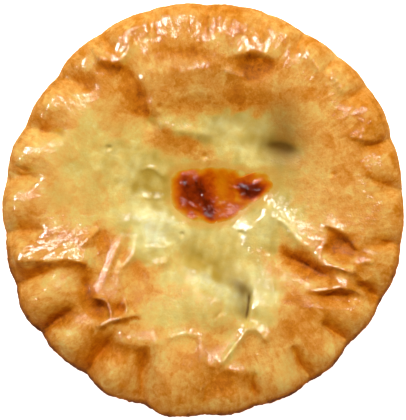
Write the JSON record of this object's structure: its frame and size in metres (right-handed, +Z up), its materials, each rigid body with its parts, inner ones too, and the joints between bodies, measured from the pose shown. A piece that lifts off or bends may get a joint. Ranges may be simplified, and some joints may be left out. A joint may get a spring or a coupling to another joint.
{
  "type": "steak and cheese pie",
  "caption": "Round single-serve double-crust meat pie with a crimped rim, a wrinkled glazed lid and browned cheese in its central vent.",
  "frame": {"origin": "middle of the flat foot, at the level the pie stands on", "axes": "+Z up through the lid; +Y towards the back, where the upper plateau of the lid lies; +X to the right"},
  "size_m": [0.1206, 0.1244, 0.0373],
  "materials": {
    "baked_pastry": "egg-washed flaky pastry baked golden brown, glossy in patches",
    "browned_cheese": "melted cheese, wet and browned"
  },
  "bodies": {
    "root": {"pastry_crust": "baked_pastry", "vent_cheese": "browned_cheese"}
  },
  "joints": []
}
